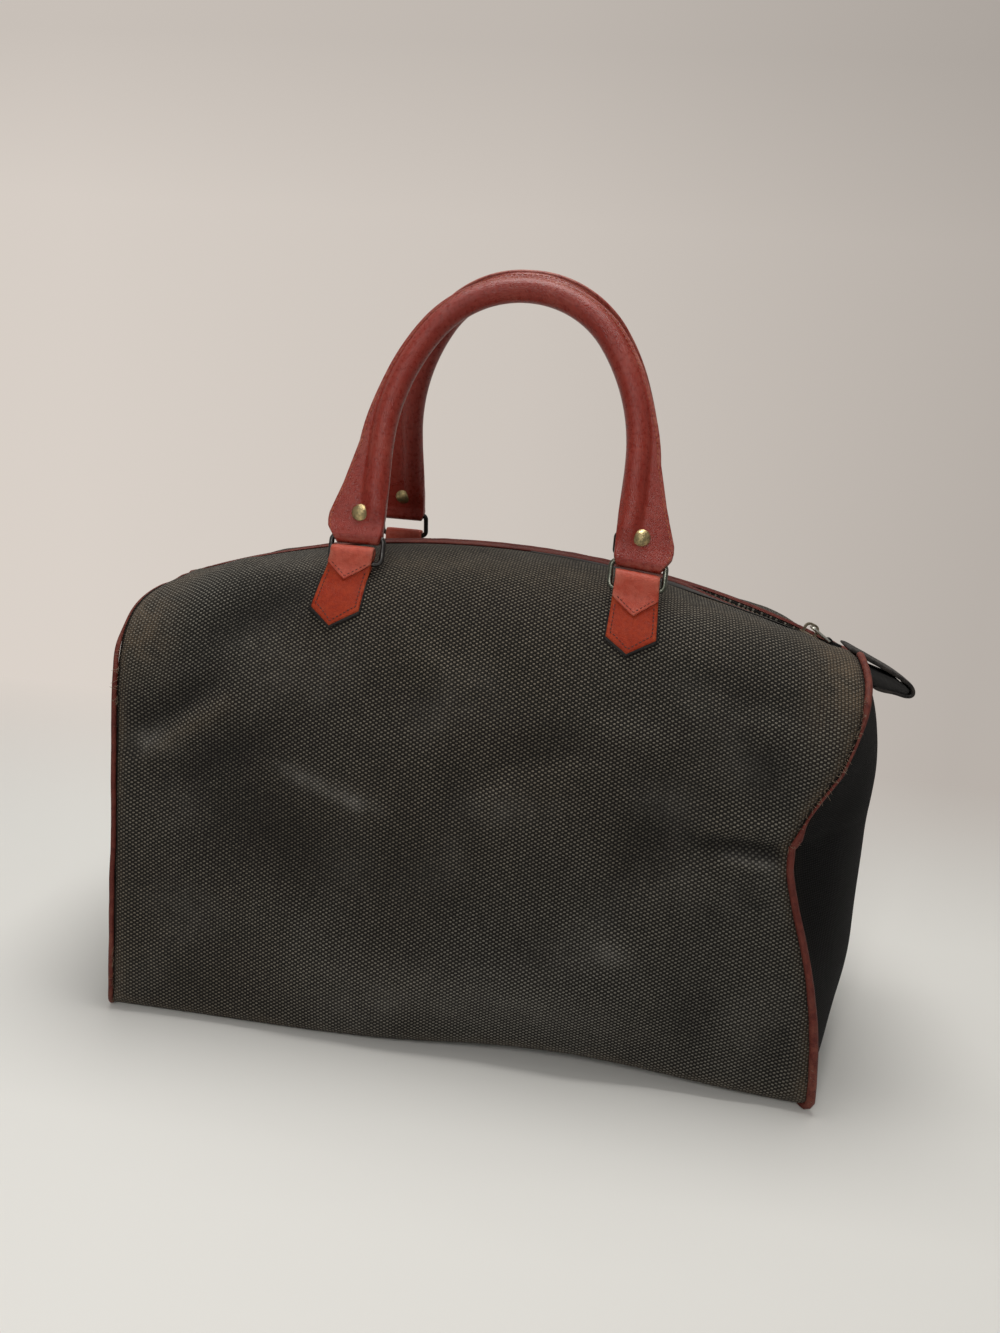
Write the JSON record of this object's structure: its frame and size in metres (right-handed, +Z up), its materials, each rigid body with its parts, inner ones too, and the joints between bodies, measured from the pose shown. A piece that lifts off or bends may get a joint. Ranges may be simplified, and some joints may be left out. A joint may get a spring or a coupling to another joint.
{
  "type": "carpet bag",
  "caption": "Soft canvas travel bag with a zip top, piped end panels and a pair of rolled leather handles that swing on wire rings.",
  "frame": {"origin": "centre of the base, on the surface that the bag stands on", "axes": "+X along the bag, from the zip's closed-start end to the end with the leather tab; +Y from the front to the back; +Z up"},
  "size_m": [0.4762, 0.2133, 0.4493],
  "materials": {
    "canvas": "coarse charcoal-brown woven canvas with light flecks",
    "end_cloth": "near-black smooth heavy cloth",
    "red_leather": "worn red-brown leather",
    "black_leather": "black leather, lightly worn",
    "handle_leather": "glossy grained red-brown leather",
    "cord_core": "cotton cord filling",
    "zip_cloth": "black woven zip tape",
    "zip_metal": "aged brass, dull",
    "bright_steel": "bright steel wire, tarnished",
    "dark_steel": "dark gunmetal wire",
    "aged_brass": "antique brass, mottled"
  },
  "bodies": {
    "bag": {"body_wrap": "canvas", "left_end_panel": "end_cloth", "right_end_panel": "end_cloth", "left_piping": "red_leather", "right_piping": "red_leather", "front_zip_tape": "zip_cloth", "back_zip_tape": "zip_cloth", "front_zip_teeth": "zip_metal", "back_zip_teeth": "zip_metal", "zip_bottom_stop": "zip_metal", "zip_top_stops": "zip_metal", "front_zip_binding": "red_leather", "back_zip_binding": "red_leather", "zip_end_tab": "black_leather", "front_left_chape": "red_leather", "front_right_chape": "red_leather", "back_left_chape": "red_leather", "back_right_chape": "red_leather"},
    "zip_slider": {"zip_slider": "zip_metal"},
    "zip_pull": {"zip_pull_ring": "bright_steel", "zip_pull_strap": "black_leather"},
    "front_left_ring": {"front_left_ring": "dark_steel"},
    "front_right_ring": {"front_right_ring": "bright_steel"},
    "back_left_ring": {"back_left_ring": "dark_steel"},
    "back_right_ring": {"back_right_ring": "dark_steel"},
    "front_handle": {"front_handle_sleeve": "handle_leather", "front_handle_core": "cord_core", "front_left_rivet": "aged_brass", "front_right_rivet": "aged_brass"},
    "back_handle": {"back_handle_sleeve": "handle_leather", "back_handle_core": "cord_core", "back_left_rivet": "aged_brass", "back_right_rivet": "aged_brass"}
  },
  "joints": [
    {"name": "zip_travel", "type": "hinge", "parent": "bag", "child": "zip_slider", "pos_m": [-0.01, 0, -0.273], "axis": [0, -1, 0], "range_deg": [0, 39.2]},
    {"name": "zip_pull_swing", "type": "hinge", "parent": "zip_slider", "child": "zip_pull", "pos_m": [0.18761, 0, 0.25589], "axis": [0, -1, 0], "range_deg": [0, 150]},
    {"name": "front_left_ring_swing", "type": "hinge", "parent": "bag", "child": "front_left_ring", "pos_m": [-0.0795, -0.0615, 0.277], "axis": [1, 0, 0], "range_deg": [0, 90]},
    {"name": "front_right_ring_swing", "type": "hinge", "parent": "bag", "child": "front_right_ring", "pos_m": [0.0795, -0.0615, 0.277], "axis": [1, 0, 0], "range_deg": [0, 90]},
    {"name": "front_handle_swing", "type": "hinge", "parent": "front_left_ring", "child": "front_handle", "pos_m": [0, -0.0575, 0.29177], "axis": [1, 0, 0], "range_deg": [0, 85]},
    {"name": "back_left_ring_swing", "type": "hinge", "parent": "bag", "child": "back_left_ring", "pos_m": [-0.0795, 0.0615, 0.2826], "axis": [-1, 0, 0], "range_deg": [0, 90]},
    {"name": "back_right_ring_swing", "type": "hinge", "parent": "bag", "child": "back_right_ring", "pos_m": [0.0795, 0.0615, 0.2826], "axis": [-1, 0, 0], "range_deg": [0, 90]},
    {"name": "back_handle_swing", "type": "hinge", "parent": "back_left_ring", "child": "back_handle", "pos_m": [0, 0.0575, 0.29737], "axis": [-1, 0, 0], "range_deg": [0, 85]}
  ],
  "couplings": [
    {"joint": "front_right_ring_swing", "follows": "front_left_ring_swing", "ratio": 1},
    {"joint": "back_right_ring_swing", "follows": "back_left_ring_swing", "ratio": 1}
  ]
}
